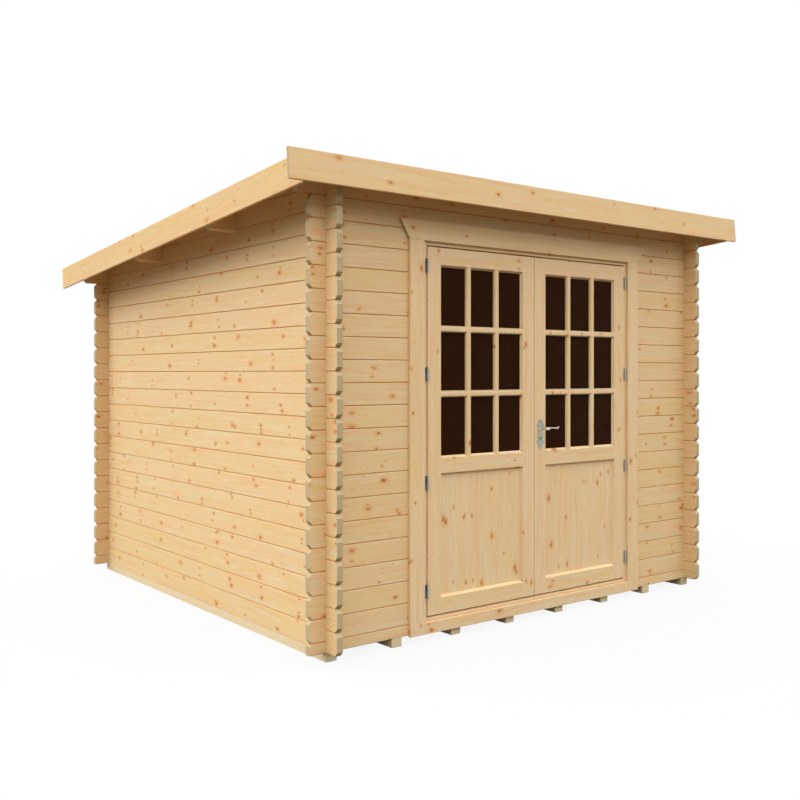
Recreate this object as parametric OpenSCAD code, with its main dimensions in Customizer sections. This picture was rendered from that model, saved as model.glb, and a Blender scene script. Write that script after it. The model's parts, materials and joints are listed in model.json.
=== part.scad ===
// Log cabin with a lean roof that falls to the back, and a glazed double door in the high front wall.
// Millimetres. X runs along the front, Y to the back, Z up. The origin is on the ground,
// at the middle of the whole cabin's plan, roof included.

/* [Walls] */
// Width of the cabin over the outer faces of the side walls
wall_w = 2816; // [2400:1:4200]
// Depth of the cabin over the outer faces of the front and back walls
wall_d = 2816; // [1800:1:4200]
// Number of full logs above the half log in the front wall
front_logs = 20; // [19:1:22]
// Number of full logs above the half log in the back wall
back_logs = 18; // [16:1:18]

/* [Logs] */
// Height that one course of logs adds to a wall
log_h = 112; // [106:1:125]
// Thickness of a log
log_t = 34; // [28:1:60]
// Length of the log ends that stand out past the corners
log_end = 93; // [60:1:130]
// Size of the bevel on the long edges of a log, which makes the V between two logs
log_bevel = 3.5; // [2:0.5:6]
// Height of the slanting cut on the free end of a log
end_cut_h = 20; // [10:1:26]
// Depth of the slanting cut on the free end of a log
end_cut_d = 17; // [8:1:30]
// Width of the tongue on top of a log
tongue_w = 10; // [6:1:12]
// Height of the tongue on top of a log
tongue_h = 8; // [5:1:12]
// Gap between two logs that lie on each other
log_gap = 0.4; // [0.2:0.1:1]

/* [Floor] */
// Number of joists under the cabin
joist_count = 8; // [4:1:12]
// Width of a joist
joist_w = 62; // [45:1:90]
// Height of a joist
joist_h = 45; // [30:1:90]
// Thickness of the floor boards
floor_t = 18; // [15:1:28]
// Gap between the floor boards and the walls
floor_gap = 5; // [2:1:12]

/* [Roof] */
// Roof overhang at each side, to the outer face of the barge board
side_over = 222; // [150:1:400]
// Roof overhang at the front, to the lower edge of the fascia
front_over = 167; // [140:1:400]
// Roof overhang at the back, to the upper edge of the barge boards
back_over = 273; // [150:1:400]
// Thickness of the roof boards
deck_t = 18; // [15:1:25]
// Thickness of the roofing felt
felt_t = 3; // [2:0.5:5]
// Thickness of the barge boards
barge_t = 18; // [15:1:28]
// Height of the barge boards
barge_h = 142; // [100:1:190]
// Height of the barge boards' upper edge above the roof boards
barge_rise = 14; // [4:1:40]
// Thickness of the front fascia
fascia_t = 18; // [15:1:28]
// Height of the front fascia
fascia_h = 145; // [100:1:190]
// Height of the fascia's upper edge above the roof boards
fascia_rise = 20; // [4:1:40]
// Length of fascia that stands out past each barge board
fascia_ear = 79; // [0:1:150]
// Thickness of the eave board at the back
eave_t = 18; // [15:1:28]
// Height of the eave board at the back, below the roof boards' upper face
eave_h = 48; // [25:1:140]
// Distance of each purlin from the middle of the room
purlin_off = 488; // [200:1:700]
// Thickness of a purlin
purlin_w = 40; // [34:1:80]
// Height of a purlin
purlin_h = 112; // [90:1:160]
// Bevel on the lower edges of a purlin
purlin_bevel = 10; // [2:1:14]
// Size of the slanting cut under the ends of the purlins and wall plates
plate_cut = 54; // [20:1:80]

/* [Doorway] */
// Distance of the doorway's middle from the middle of the front wall, to the right
door_shift = -10; // [-150:1:150]
// Number of full logs that the doorway cuts through
door_logs = 18; // [16:1:18]
// Gap beside a door leaf, and between the two leaves
door_gap = 3.5; // [3.5:0.5:8]
// Gap over and under a door leaf
leaf_gap = 8; // [4:1:12]
// Gap between the frame and the logs at each side
frame_gap = 5; // [2:1:15]
// Gap left over the frame, where the logs may settle
settle_gap = 31; // [10:1:60]
// Width of the frame's side and head pieces
jamb_w = 45; // [35:1:60]
// Height of the threshold in front of the leaves
sill_h = 18; // [12:1:40]
// Depth of the frame from front to back
frame_d = 50; // [46:1:90]
// Width of the stop that overlaps the back of a closed leaf
stop_w = 15; // [8:1:25]
// Width of the jamb and leaf gap that the casing leaves in sight
reveal = 28; // [15:1:40]
// Width of the outside casing boards
casing_w = 96; // [70:1:130]
// Thickness of the casing boards
casing_t = 16; // [12:1:24]
// Height of the board over the doorway
head_h = 104; // [80:1:130]
// Length by which each slanting end of the head board widens to the top
head_splay = 64; // [0:1:90]
// Length of the casing boards below the logs
casing_drop = 7; // [0:1:20]
// Width of the inside casing boards
inner_casing_w = 80; // [50:1:110]

/* [Door leaves] */
// Width of one leaf
leaf_w = 774; // [600:1:850]
// Thickness of a leaf
leaf_t = 40; // [38:1:50]
// Distance by which a closed leaf stands out from the logs' face
leaf_proud = 5; // [5:1:10]
// Width of the stiles without their moulding
stile_w = 88; // [70:1:120]
// Height of the top rail without its moulding
top_rail_h = 88; // [70:1:130]
// Height of the middle rail without its mouldings
mid_rail_h = 78; // [60:1:120]
// Height of the middle rail's lower edge above the leaf's bottom
mid_rail_z = 732; // [500:1:900]
// Height of the bottom rail without its moulding
bottom_rail_h = 84; // [70:1:180]
// Width of the sloping moulding round the glass and the panel
moulding_w = 11; // [6:1:16]
// Depth of the sloping moulding in front of the glass and the panel
moulding_d = 15; // [8:1:18]
// Number of panes across a leaf
panes_across = 3; // [1:1:4]
// Number of panes up a leaf
panes_up = 3; // [1:1:5]
// Width of a glazing bar where it meets the glass
bar_w = 36; // [24:1:44]
// Width of a glazing bar's flat face
bar_face = 16; // [8:1:20]
// Thickness of the glass
glass_t = 4; // [3:0.5:6]
// Thickness of the wooden panel
panel_t = 12; // [9:1:14]
// Depth of the groove that holds the glass or the panel
pane_groove = 8; // [5:1:12]

/* [Hinges] */
// Number of hinges on each leaf
hinge_count = 4; // [2:1:5]
// Height of the lowest hinge's middle above the leaf's bottom
hinge_low = 128; // [80:1:250]
// Distance of the highest hinge's middle from the leaf's top
hinge_high = 99; // [80:1:250]
// Height of a hinge
hinge_h = 72; // [50:1:110]
// Radius of a hinge's knuckle
knuckle_r = 5; // [4:0.5:5.5]
// Radius of a hinge's pin
pin_r = 2.5; // [1.5:0.5:3]
// Distance of the hinge pin in front of the leaf's face
pin_out = 6; // [6:0.5:10]
// Distance of the hinge pin outside the leaf's edge
pin_side = 4.5; // [3.5:0.5:5]
// Thickness of a hinge's plate
plate_t = 2.5; // [1.5:0.5:3]
// Width of the hinge plate on the frame
frame_plate_w = 12; // [10:1:20]
// Width of the hinge plate on the leaf's edge
leaf_plate_w = 30; // [20:1:34]

/* [Handle] */
// Distance of the handle from the leaf's meeting edge
handle_in = 46; // [35:1:60]
// Height of the handle above the leaf's bottom
handle_z = 941; // [850:1:1050]
// Height of the handle plates
lock_plate_h = 168; // [140:1:230]
// Width of the handle plates at their waist
lock_plate_w = 36; // [28:1:44]
// Thickness of the handle plates
lock_plate_t = 3; // [2:0.5:5]
// Distance of the handle above the middle of its plate
handle_up = 31; // [0:1:40]
// Distance of the keyhole below the middle of the plate
key_down = 25; // [15:1:40]
// Radius of the round part of the keyhole
keyhole_r = 4.5; // [2.5:0.5:6]
// Width of the slot under it
key_slot_w = 4; // [2:0.5:6]
// Length of the slot, from the middle of the round part
key_slot_h = 13; // [8:1:18]
// Length of the lever from the spindle to its end
lever_l = 108; // [80:1:130]
// Distance of the lever from the face of the leaf
lever_out = 48; // [40:1:60]
// Thickness of the lever
lever_t = 11; // [8:1:16]
// Radius of the lever's neck
neck_r = 8; // [6:1:11]
// Radius of the spindle through the leaf
spindle_r = 4; // [3:0.5:6]

/* [Hidden] */
$fn = 48;
fit = 0.3;         // clearance where one piece sits in another
over = 1;          // length by which a cut runs past a face
log_z = joist_h;   // the logs lie on the joists
half_log = log_h / 2;
log_body = log_h - log_gap;

// Plan: the whole plan, roof included, is centred on the origin
front_y = -(wall_d + back_over - front_over) / 2;
back_y = front_y + wall_d;
side_x = wall_w / 2;

// Roof: it lies on the front and back walls, and its underside falls to the back
front_top = log_z + half_log + front_logs * log_h;
back_top = log_z + half_log + back_logs * log_h;
roof_slope = (front_top - back_top) / (wall_d - log_t);
roof_a = atan(roof_slope);
function roof_at(y) = front_top - roof_slope * (y - front_y);
barge_in_x = side_x + side_over - barge_t;
barge_top = deck_t + barge_rise;
fascia_top = deck_t + fascia_rise;
// Along the slope: the fascia's front face and the barge boards' back ends
fascia_y = (-front_over - (fascia_top - fascia_h) * sin(roof_a)) / cos(roof_a);
deck_y0 = fascia_y + fascia_t;
deck_y1 = (wall_d + back_over - barge_top * sin(roof_a)) / cos(roof_a);
purlin_ys = [(front_y + back_y) / 2 - purlin_off, (front_y + back_y) / 2 + purlin_off];

// Doorway
door_x = door_shift;
leaf_zone = 2 * leaf_w + door_gap;
door_z0 = log_z + half_log;
door_z1 = door_z0 + door_logs * log_h;
leaf_z = door_z0 + sill_h + leaf_gap;
head_z = door_z1 - settle_gap - jamb_w;
leaf_h = head_z - leaf_gap - leaf_z;
frame_in = leaf_zone / 2 + door_gap;
frame_out = frame_in + jamb_w;
cut_half = frame_out + frame_gap;
leaf_y = front_y - leaf_proud;
casing_in = leaf_zone / 2 + reveal;
casing_out = casing_in + casing_w;
casing_top = leaf_z + leaf_h + reveal;
stop_y = leaf_y + leaf_t + door_gap;

// Door leaf, in its own frame: X from the hinged edge, Y from the front face, Z from the bottom
pane_x0 = stile_w + moulding_w;
pane_x1 = leaf_w - pane_x0;
glass_z0 = mid_rail_z + mid_rail_h + moulding_w;
glass_z1 = leaf_h - top_rail_h - moulding_w;
panel_z0 = bottom_rail_h + moulding_w;
panel_z1 = mid_rail_z - moulding_w;
hinge_pitch = (leaf_h - hinge_low - hinge_high) / (hinge_count - 1);
hinge_zs = [for (i = [0 : hinge_count - 1]) hinge_low + i * hinge_pitch];
handle_x = leaf_w - handle_in;
spruce = "#dcb98c";
steel = "#b9bdc0";

// ---- Logs -------------------------------------------------------------------------------------

// Section of a log, standing on Z = 0: bevelled edges, a tongue on top and a groove below
module log_section(h, groove, tongue) {
    w = log_t / 2;
    b = log_bevel;
    g = tongue_w / 2 + fit;
    polygon(concat(
        [[-w + b, 0]],
        groove ? [[-g, 0], [-g, tongue_h + fit], [g, tongue_h + fit], [g, 0]] : [],
        [[w - b, 0], [w, b], [w, h - b], [w - b, h]],
        tongue ? [[tongue_w / 2, h], [tongue_w / 2, h + tongue_h],
            [-tongue_w / 2, h + tongue_h], [-tongue_w / 2, h]] : [],
        [[-w + b, h], [-w, h - b], [-w, b]]));
}

// Section of a wall plate: a log whose top follows the roof
module plate_section() {
    w = log_t / 2;
    b = log_bevel;
    g = tongue_w / 2 + fit;
    polygon([[-w + b, 0], [-g, 0], [-g, tongue_h + fit], [g, tongue_h + fit], [g, 0], [w - b, 0],
        [w, b], [w, log_h - log_t * roof_slope], [-w, log_h], [-w, b]]);
}

// A log along X from s0 to s1: its section, kept inside the side view drawn by the child
module log_x(s0, s1) {
    intersection() {
        translate([s0, 0, 0]) rotate([90, 0, 90]) linear_extrude(height = s1 - s0) children(0);
        rotate([90, 0, 0]) linear_extrude(height = log_t + 2 * over, center = true) children(1);
    }
}

// Side view of a log from s0 to s1. A free end has slanting cuts above and below, a cut end is square.
module log_view(s0, s1, h, free0, free1) {
    top = h + tongue_h;
    slant = end_cut_d * (end_cut_h + tongue_h) / end_cut_h;
    polygon(concat(
        free0 ? [[s0, end_cut_h], [s0 + end_cut_d, 0]] : [[s0, 0]],
        free1 ? [[s1 - end_cut_d, 0], [s1, end_cut_h], [s1, h - end_cut_h], [s1 - slant, top]]
            : [[s1, 0], [s1, top]],
        free0 ? [[s0 + slant, top], [s0, h - end_cut_h]] : [[s0, top]]));
}

// Notches where a full log crosses the wall between s and s + log_t
module log_notches(s, from_top = true) {
    w = log_t + 2 * fit;
    translate([s - fit, -over]) square([w, log_h / 4 + over]);
    if (from_top)
        translate([s - fit, log_h * 3 / 4 - log_gap]) square([w, log_h]);
}

// A full log of the front or back wall, between two places along X
module cross_log(s0, s1, free0 = true, free1 = true, tongue = true) {
    log_x(s0, s1) {
        log_section(log_body, true, tongue);
        difference() {
            log_view(s0, s1, log_body, free0, free1);
            if (free0)
                log_notches(-side_x);
            if (free1)
                log_notches(side_x - log_t);
        }
    }
}

// The half log at the bottom of the front or back wall
module half_log_x() {
    end = side_x + log_end;
    body = half_log - log_gap;
    log_x(-end, end) {
        log_section(body, false, true);
        difference() {
            polygon([[-end, 0], [end, 0], [end, body - end_cut_h / 2], [end - end_cut_d, body + tongue_h],
                [-end + end_cut_d, body + tongue_h], [-end, body - end_cut_h / 2]]);
            for (s = [-side_x, side_x - log_t])
                translate([s - fit, log_h / 4 - log_gap]) square([log_t + 2 * fit, log_h]);
        }
    }
}

// Wall plate: the top log, which runs on at both sides to carry the roof
module plate_log() {
    end = barge_in_x - fit;
    log_x(-end, end) {
        plate_section();
        difference() {
            polygon([[-end, plate_cut], [-end + plate_cut, 0], [end - plate_cut, 0], [end, plate_cut],
                [end, log_h + over], [-end, log_h + over]]);
            for (s = [-side_x, side_x - log_t])
                log_notches(s, false);
        }
    }
}

// Height of course i in the front and back walls, whose logs lie half a course above the side logs
function course_z(i) = log_z + half_log + i * log_h;

// One log of a side wall, course k from the bottom, with its notches, the roof's slope and the purlin seats
module side_log(k) {
    z = log_z + k * log_h;
    s0 = k < front_logs ? front_y - log_end : front_y + log_t + fit;
    s1 = k < back_logs ? back_y + log_end : back_y - log_t - fit;
    translate([0, 0, z]) rotate([0, 0, 90]) log_x(s0, s1) {
        log_section(log_body, k > 0, k < front_logs);
        difference() {
            intersection() {
                log_view(s0, s1, log_body, k < front_logs, k < back_logs);
                polygon([[s0 - over, -over], [s1 + over, -over], [s1 + over, roof_at(s1 + over) - z],
                    [s0 - over, roof_at(s0 - over) - z]]);
            }
            if (k < front_logs)
                log_notches(front_y);
            if (k < back_logs)
                log_notches(back_y - log_t);
            for (y = purlin_ys)
                translate([y, roof_at(y) - z]) purlin_outline(fit);
        }
    }
}

// ---- Floor ------------------------------------------------------------------------------------

module floor_joists() {
    pitch = (wall_w - joist_w) / (joist_count - 1);
    color("#8b8f73")
        for (i = [0 : joist_count - 1])
            translate([-side_x + i * pitch, front_y, 0]) cube([joist_w, wall_d, joist_h]);
}

module floor_boards() {
    inset = log_t + floor_gap;
    color("#cfa777")
        translate([-side_x + inset, front_y + inset, joist_h])
            cube([wall_w - 2 * inset, wall_d - 2 * inset, floor_t]);
}

// ---- Walls ------------------------------------------------------------------------------------

module side_wall(x) {
    color(spruce)
        for (k = [0 : front_logs])
            translate([x, 0, 0]) side_log(k);
}

module left_wall() { side_wall(-side_x + log_t / 2); }

module right_wall() { side_wall(side_x - log_t / 2); }

module back_wall() {
    end = side_x + log_end;
    color(spruce) translate([0, back_y - log_t / 2, 0]) {
        translate([0, 0, log_z]) half_log_x();
        for (i = [0 : back_logs - 2])
            translate([0, 0, course_z(i)]) cross_log(-end, end);
    }
}

module front_log_row(s0, s1, free0, free1) {
    color(spruce)
        for (i = [0 : door_logs - 1])
            translate([0, front_y + log_t / 2, course_z(i)]) cross_log(s0, s1, free0, free1);
}

module front_wall_left() { front_log_row(-side_x - log_end, door_x - cut_half, true, false); }

module front_wall_right() { front_log_row(door_x + cut_half, side_x + log_end, false, true); }

module front_sill_log() {
    color(spruce) translate([0, front_y + log_t / 2, log_z]) difference() {
        half_log_x();
        // The frame stands on the half log, so its tongue stops at the doorway
        translate([door_x - cut_half, -log_t, half_log - log_gap])
            cube([2 * cut_half, 2 * log_t, log_h]);
    }
}

module front_wall_over_door() {
    end = side_x + log_end;
    color(spruce)
        for (i = [door_logs : 1 : front_logs - 2])
            translate([0, front_y + log_t / 2, course_z(i)]) cross_log(-end, end);
}

module front_plate_log() {
    color(spruce) translate([0, front_y + log_t / 2, course_z(front_logs - 1)]) plate_log();
}

module back_plate_log() {
    color(spruce) translate([0, back_y - log_t / 2, course_z(back_logs - 1)]) plate_log();
}

// ---- Roof -------------------------------------------------------------------------------------

// Places its children on the roof: Y runs down the slope from the front wall's face, Z = 0 is the underside
module on_roof() {
    translate([0, front_y, front_top + fit]) rotate([-roof_a, 0, 0]) children();
}

// End view of a purlin, its top on the roof's underside, grown by the clearance of its seat
module purlin_outline(grow) {
    w = purlin_w / 2 + grow;
    b = purlin_bevel;
    polygon([[-w + b, -purlin_h - grow], [w - b, -purlin_h - grow], [w, -purlin_h - grow + b],
        [w, -w * roof_slope], [-w, w * roof_slope], [-w, -purlin_h - grow + b]]);
}

module purlin(y) {
    end = barge_in_x - fit;
    color(spruce) translate([0, y, roof_at(y)]) intersection() {
        translate([-end, 0, 0]) rotate([90, 0, 90]) linear_extrude(height = 2 * end) purlin_outline(0);
        rotate([90, 0, 0]) linear_extrude(height = 2 * purlin_w, center = true)
            polygon([[-end, plate_cut - purlin_h], [-end + plate_cut, -purlin_h],
                [end - plate_cut, -purlin_h], [end, plate_cut - purlin_h], [end, purlin_h],
                [-end, purlin_h]]);
    }
}

module front_purlin() { purlin(purlin_ys[0]); }

module rear_purlin() { purlin(purlin_ys[1]); }

module roof_boards() {
    color("#c9a578") on_roof()
        translate([-barge_in_x, deck_y0 + fit, 0])
            cube([2 * barge_in_x, deck_y1 - eave_t - deck_y0 - 2 * fit, deck_t]);
}

module roof_felt() {
    color("#3c3f41") on_roof()
        translate([-barge_in_x, deck_y0 + fit, deck_t + fit])
            cube([2 * barge_in_x, deck_y1 - deck_y0 - fit, felt_t]);
}

module front_fascia() {
    half = barge_in_x + barge_t + fascia_ear;
    color(spruce) on_roof()
        translate([-half, fascia_y, fascia_top - fascia_h]) cube([2 * half, fascia_t, fascia_h]);
}

module rear_eave_board() {
    color(spruce) on_roof()
        translate([-barge_in_x, deck_y1 - eave_t, deck_t - eave_h])
            cube([2 * barge_in_x, eave_t, eave_h]);
}

module barge_board(x) {
    color(spruce) on_roof()
        translate([x, deck_y0 + fit, barge_top - barge_h])
            cube([barge_t, deck_y1 - deck_y0 - fit, barge_h]);
}

module left_barge_board() { barge_board(-barge_in_x - barge_t); }

module right_barge_board() { barge_board(barge_in_x); }

// ---- Door frame and casing --------------------------------------------------------------------

// A side piece of the frame on the right of the doorway, with the stop behind the leaf
module jamb() {
    color(spruce) translate([door_x, 0, 0]) {
        translate([frame_in, front_y, door_z0])
            cube([jamb_w, frame_d, head_z + jamb_w - door_z0]);
        translate([frame_in - door_gap - stop_w, stop_y, door_z0 + sill_h])
            cube([door_gap + stop_w + over, front_y + frame_d - stop_y, head_z - door_z0 - sill_h]);
    }
}

module right_jamb() { jamb(); }

module left_jamb() { translate([2 * door_x, 0, 0]) mirror([1, 0, 0]) jamb(); }

// A piece of the frame between the side pieces, with its stop between their stops
module frame_bar(z, h, stop_z, stop_h) {
    stop_half = frame_in - door_gap - stop_w;
    color(spruce) translate([door_x, 0, 0]) {
        translate([-frame_in, front_y, z]) cube([2 * frame_in, frame_d, h]);
        translate([-stop_half, stop_y, stop_z])
            cube([2 * stop_half, front_y + frame_d - stop_y, stop_h]);
    }
}

module head_jamb() { frame_bar(head_z, jamb_w, head_z - leaf_gap - stop_w, leaf_gap + stop_w + over); }

module threshold() { frame_bar(door_z0, sill_h, leaf_z - leaf_gap - over, leaf_gap + stop_w + over); }

module side_casing(x) {
    color(spruce) translate([x, front_y - casing_t, log_z - casing_drop])
        cube([casing_w, casing_t, casing_top - log_z + casing_drop]);
}

module left_casing() { side_casing(door_x - casing_out); }

module right_casing() { side_casing(door_x + casing_in); }

// The board over the doorway, with ends that slant outwards to the top
module head_casing() {
    color(spruce) translate([door_x, front_y, casing_top]) rotate([90, 0, 0])
        linear_extrude(height = casing_t)
            polygon([[-casing_out, 0], [casing_out, 0], [casing_out + head_splay, head_h],
                [-casing_out - head_splay, head_h]]);
}

module sill_board() {
    color(spruce) translate([door_x - casing_in, front_y - casing_t, log_z - casing_drop])
        cube([2 * casing_in, casing_t, leaf_z - reveal - log_z + casing_drop]);
}

// Boards round the frame inside the room, which end flush with the frame's back face
module inner_casing() {
    t = frame_d - log_t;
    z0 = log_z + floor_t;
    z1 = head_z + jamb_w;
    color(spruce) translate([door_x, front_y + log_t, 0]) {
        for (x = [-frame_out - fit - inner_casing_w, frame_out + fit])
            translate([x, 0, z0]) cube([inner_casing_w, t, z1 - z0]);
        translate([-frame_out - fit - inner_casing_w, 0, z1 + fit])
            cube([2 * (frame_out + fit + inner_casing_w), t, inner_casing_w]);
        translate([-frame_out, 0, z0]) cube([2 * frame_out, t, door_z0 - z0]);
    }
}

// ---- Door leaves ------------------------------------------------------------------------------

module at_left_leaf() { translate([door_x - leaf_zone / 2, leaf_y, leaf_z]) children(); }

module at_right_leaf() { translate([door_x + leaf_zone / 2, leaf_y, leaf_z]) mirror([1, 0, 0]) children(); }

// Pocket with sloping sides that narrows by w over the depth d behind Y = 0, to the size given
module pocket(x0, x1, z0, z1, w, d) {
    out = w + w * over / d;
    intersection() {
        translate([0, 0, z0 - 2 * w]) linear_extrude(height = z1 - z0 + 4 * w)
            polygon([[x0 - out, -over], [x1 + out, -over], [x1, d], [x0, d]]);
        translate([x0 - 2 * w, 0, 0]) rotate([90, 0, 90]) linear_extrude(height = x1 - x0 + 4 * w)
            polygon([[-over, z0 - out], [-over, z1 + out], [d, z1], [d, z0]]);
    }
}

// Section of a member's moulded edge round a pane of thickness t: X from the plain edge, Y from the face
function edge_points(t) = [[0, 0], [moulding_w, moulding_d], [moulding_w, moulding_d + t + 2 * fit],
    [0, leaf_t]];

function flip(points) = [for (p = points) [p[1], p[0]]];

// Grooves for the glass and the panel, all the way round
module pane_grooves() {
    for (p = [[glass_z0, glass_z1, glass_t], [panel_z0, panel_z1, panel_t]])
        translate([pane_x0 - pane_groove, moulding_d, p[0] - pane_groove])
            cube([pane_x1 - pane_x0 + 2 * pane_groove, p[2] + 2 * fit, p[1] - p[0] + 2 * pane_groove]);
}

// The sheet that fills such an opening
module pane(z0, z1, t) {
    edge = pane_groove - fit;
    translate([pane_x0 - edge, moulding_d + fit, z0 - edge])
        cube([pane_x1 - pane_x0 + 2 * edge, t, z1 - z0 + 2 * edge]);
}

// The stile at the hinged edge
module stile() {
    difference() {
        union() {
            cube([stile_w, leaf_t, leaf_h]);
            for (p = [[glass_z0, glass_z1, glass_t], [panel_z0, panel_z1, panel_t]])
                translate([stile_w, 0, p[0]]) linear_extrude(height = p[1] - p[0])
                    polygon(edge_points(p[2]));
        }
        pane_grooves();
    }
}

module stiles() {
    stile();
    translate([leaf_w, 0, 0]) mirror([1, 0, 0]) stile();
}

// Bore for the spindle and the lock, through the meeting stile
module spindle_bore(r) {
    translate([handle_x, -lever_out, handle_z]) rotate([-90, 0, 0])
        cylinder(r = r, h = leaf_t + 2 * lever_out);
}

// A rail's moulded upper edge at Z = 0, with the ends that meet the stiles' mouldings in a mitre
module rail_edge(t) {
    translate([stile_w, 0, 0]) rotate([90, 0, 90]) linear_extrude(height = leaf_w - 2 * stile_w)
        polygon(flip(edge_points(t)));
    for (side = [0, 1])
        translate([side * leaf_w, 0, 0]) mirror([side, 0, 0]) translate([stile_w, 0, 0])
            linear_extrude(height = moulding_w) polygon(edge_points(t));
}

module rails() {
    difference() {
        union() {
            for (r = [[0, bottom_rail_h], [mid_rail_z, mid_rail_h], [leaf_h - top_rail_h, top_rail_h]])
                translate([stile_w, 0, r[0]]) cube([leaf_w - 2 * stile_w, leaf_t, r[1]]);
            translate([0, 0, bottom_rail_h]) rail_edge(panel_t);
            translate([0, 0, mid_rail_z]) mirror([0, 0, 1]) rail_edge(panel_t);
            translate([0, 0, mid_rail_z + mid_rail_h]) rail_edge(glass_t);
            translate([0, 0, leaf_h - top_rail_h]) mirror([0, 0, 1]) rail_edge(glass_t);
        }
        pane_grooves();
    }
}

// Section of a glazing bar across s: a flat face, sides that round over to the glass at depth d behind Y = 0
function bar_side(t, d) = [bar_face / 2 + (bar_w - bar_face) / 2 * sin(t), d * (1 - cos(t))];
function bar_points(s, d) = concat(
    [for (t = [0, 22.5, 45, 67.5, 90]) [s + bar_side(t, d)[0], bar_side(t, d)[1]]],
    [for (t = [90, 67.5, 45, 22.5, 0]) [s - bar_side(t, d)[0], bar_side(t, d)[1]]]);

// Glazing bars on one face of the glass, d deep, their ends cut to the mouldings
module bar_grid(d) {
    m = moulding_w;
    pane_w = (pane_x1 - pane_x0 - (panes_across - 1) * bar_w) / panes_across;
    pane_h = (glass_z1 - glass_z0 - (panes_up - 1) * bar_w) / panes_up;
    intersection() {
        union() {
            for (i = [1 : 1 : panes_across - 1])
                translate([0, 0, glass_z0 - m]) linear_extrude(height = glass_z1 - glass_z0 + 2 * m)
                    polygon(bar_points(pane_x0 + i * (pane_w + bar_w) - bar_w / 2, d));
            for (i = [1 : 1 : panes_up - 1])
                translate([pane_x0 - m, 0, 0]) rotate([90, 0, 90])
                    linear_extrude(height = pane_x1 - pane_x0 + 2 * m)
                        polygon(flip(bar_points(glass_z0 + i * (pane_h + bar_w) - bar_w / 2, d)));
        }
        pocket(pane_x0 + fit, pane_x1 - fit, glass_z0 + fit, glass_z1 - fit, m, d);
    }
}

module bars() {
    bar_grid(moulding_d);
    translate([0, leaf_t, 0]) mirror([0, 1, 0]) bar_grid(leaf_t - moulding_d - glass_t - 2 * fit);
}

module left_door_stiles() { color(spruce) at_left_leaf() stiles(); }

module left_door_rails() { color(spruce) at_left_leaf() rails(); }

module left_door_bars() { color(spruce) at_left_leaf() bars(); }

module left_door_glass() { color("#2a211c") at_left_leaf() pane(glass_z0, glass_z1, glass_t); }

module left_door_panel() { color("#d4af80") at_left_leaf() pane(panel_z0, panel_z1, panel_t); }

module right_door_stiles() {
    color(spruce) at_right_leaf() difference() {
        stiles();
        spindle_bore(spindle_r + fit);
    }
}

module right_door_rails() { color(spruce) at_right_leaf() rails(); }

module right_door_bars() { color(spruce) at_right_leaf() bars(); }

module right_door_glass() { color("#2a211c") at_right_leaf() pane(glass_z0, glass_z1, glass_t); }

module right_door_panel() { color("#d4af80") at_right_leaf() pane(panel_z0, panel_z1, panel_t); }

// ---- Hinges -----------------------------------------------------------------------------------

// Places its children at each hinge's middle on the pin's axis, in the leaf's frame
module at_hinges() {
    for (z = hinge_zs)
        translate([-pin_side, -pin_out, z]) children();
}

// Half of a hinge that is screwed to the frame: the lower knuckle with the pin
module frame_hinge() {
    half = hinge_h / 2;
    face = pin_out + leaf_proud;
    translate([0, 0, -half]) cylinder(r = knuckle_r, h = half - fit);
    translate([0, 0, -half]) cylinder(r = pin_r, h = hinge_h - 6);
    translate([-knuckle_r, 0, -half]) cube([plate_t, face, half - fit]);
    translate([-knuckle_r - frame_plate_w + plate_t, face - plate_t, -half])
        cube([frame_plate_w, plate_t, hinge_h]);
}

// Half of a hinge that is screwed to the leaf's edge: the upper knuckle
module leaf_hinge() {
    half = hinge_h / 2;
    difference() {
        union() {
            cylinder(r = knuckle_r, h = half);
            translate([pin_side - plate_t, 0, 0]) cube([plate_t, pin_out + over, half]);
            translate([pin_side - plate_t, pin_out, -half]) cube([plate_t, leaf_plate_w, hinge_h]);
        }
        translate([0, 0, -over]) cylinder(r = pin_r + fit, h = half - 3);
    }
}

module left_frame_hinges() { color(steel) at_left_leaf() at_hinges() frame_hinge(); }

module right_frame_hinges() { color(steel) at_right_leaf() at_hinges() frame_hinge(); }

module left_door_hinges() { color(steel) at_left_leaf() at_hinges() leaf_hinge(); }

module right_door_hinges() { color(steel) at_right_leaf() at_hinges() leaf_hinge(); }

// ---- Handle -----------------------------------------------------------------------------------

// Outline of a handle plate about its middle: a waist, rounded ends and lobes at the shoulders
module plate_outline() {
    end_r = lock_plate_w / 2;
    run = lock_plate_h / 2 - end_r;
    lobe = lock_plate_w / 5;
    square([lock_plate_w, 2 * run - end_r], center = true);
    for (s = [-1, 1]) {
        translate([0, s * run]) circle(r = end_r);
        translate([0, s * (run - end_r)]) square([lock_plate_w + lobe, end_r], center = true);
        for (t = [-1, 1])
            translate([t * (end_r + lobe / 2), s * (run - end_r)]) circle(r = lobe);
    }
}

// A handle plate in the leaf's frame, its back on Y = 0
module lock_plate() {
    difference() {
        translate([handle_x, 0, handle_z - handle_up]) rotate([90, 0, 0])
            linear_extrude(height = lock_plate_t) plate_outline();
        translate([handle_x, -lock_plate_t - over, handle_z]) rotate([-90, 0, 0])
            cylinder(r = neck_r + fit, h = lock_plate_t + 2 * over);
        translate([handle_x, -lock_plate_t - over, handle_z - handle_up - key_down]) rotate([-90, 0, 0])
            cylinder(r = keyhole_r, h = lock_plate_t + 2 * over);
        translate([handle_x - key_slot_w / 2, -lock_plate_t - over, handle_z - handle_up - key_down - key_slot_h])
            cube([key_slot_w, lock_plate_t + 2 * over, key_slot_h]);
    }
}

module lock_plates() {
    color(steel) at_right_leaf() {
        lock_plate();
        translate([0, leaf_t, 0]) mirror([0, 1, 0]) lock_plate();
    }
}

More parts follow.
